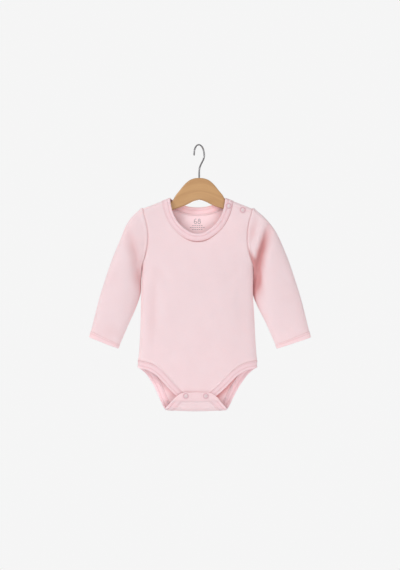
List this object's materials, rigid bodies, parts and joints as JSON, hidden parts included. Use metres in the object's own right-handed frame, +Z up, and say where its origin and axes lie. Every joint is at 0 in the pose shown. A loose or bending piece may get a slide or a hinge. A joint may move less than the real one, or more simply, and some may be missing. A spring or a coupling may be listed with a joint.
{
  "type": "baby onesie on a hanger",
  "caption": "Long-sleeved baby bodysuit with a bound round neck, snap shoulder and snap crotch flap, hanging on a shaped wooden hanger with a wire hook",
  "frame": {"origin": "inside top of the hook, where it rests on the rail that holds it", "axes": "+Z up, -Y out of the garment's front, +X towards the shoulder with the snaps"},
  "size_m": [0.4214, 0.0431, 0.5083],
  "materials": {
    "cloth": "smooth cotton interlock knit, pale pink",
    "binding": "fine ribbed cotton binding, pale pink, coverstitched",
    "snap": "pink enamelled ring snap",
    "wood": "light brown satin lacquered wood",
    "steel": "bright steel wire"
  },
  "bodies": {
    "root": {"front_panel": "cloth", "back_panel": "cloth", "sleeve_left": "cloth", "sleeve_right": "cloth", "flap_hem": "cloth", "shoulder_underlap": "cloth", "neck_binding": "binding", "leg_binding_left": "binding", "leg_binding_right": "binding", "snap_cap_shoulder_neck": "snap", "snap_cap_shoulder_arm": "snap", "snap_cap_crotch_left": "snap", "snap_cap_crotch_right": "snap", "snap_back_shoulder_neck": "snap", "snap_back_shoulder_arm": "snap", "snap_back_crotch_left": "snap", "snap_back_crotch_right": "snap", "hanger": "wood", "hook": "steel"}
  },
  "joints": []
}
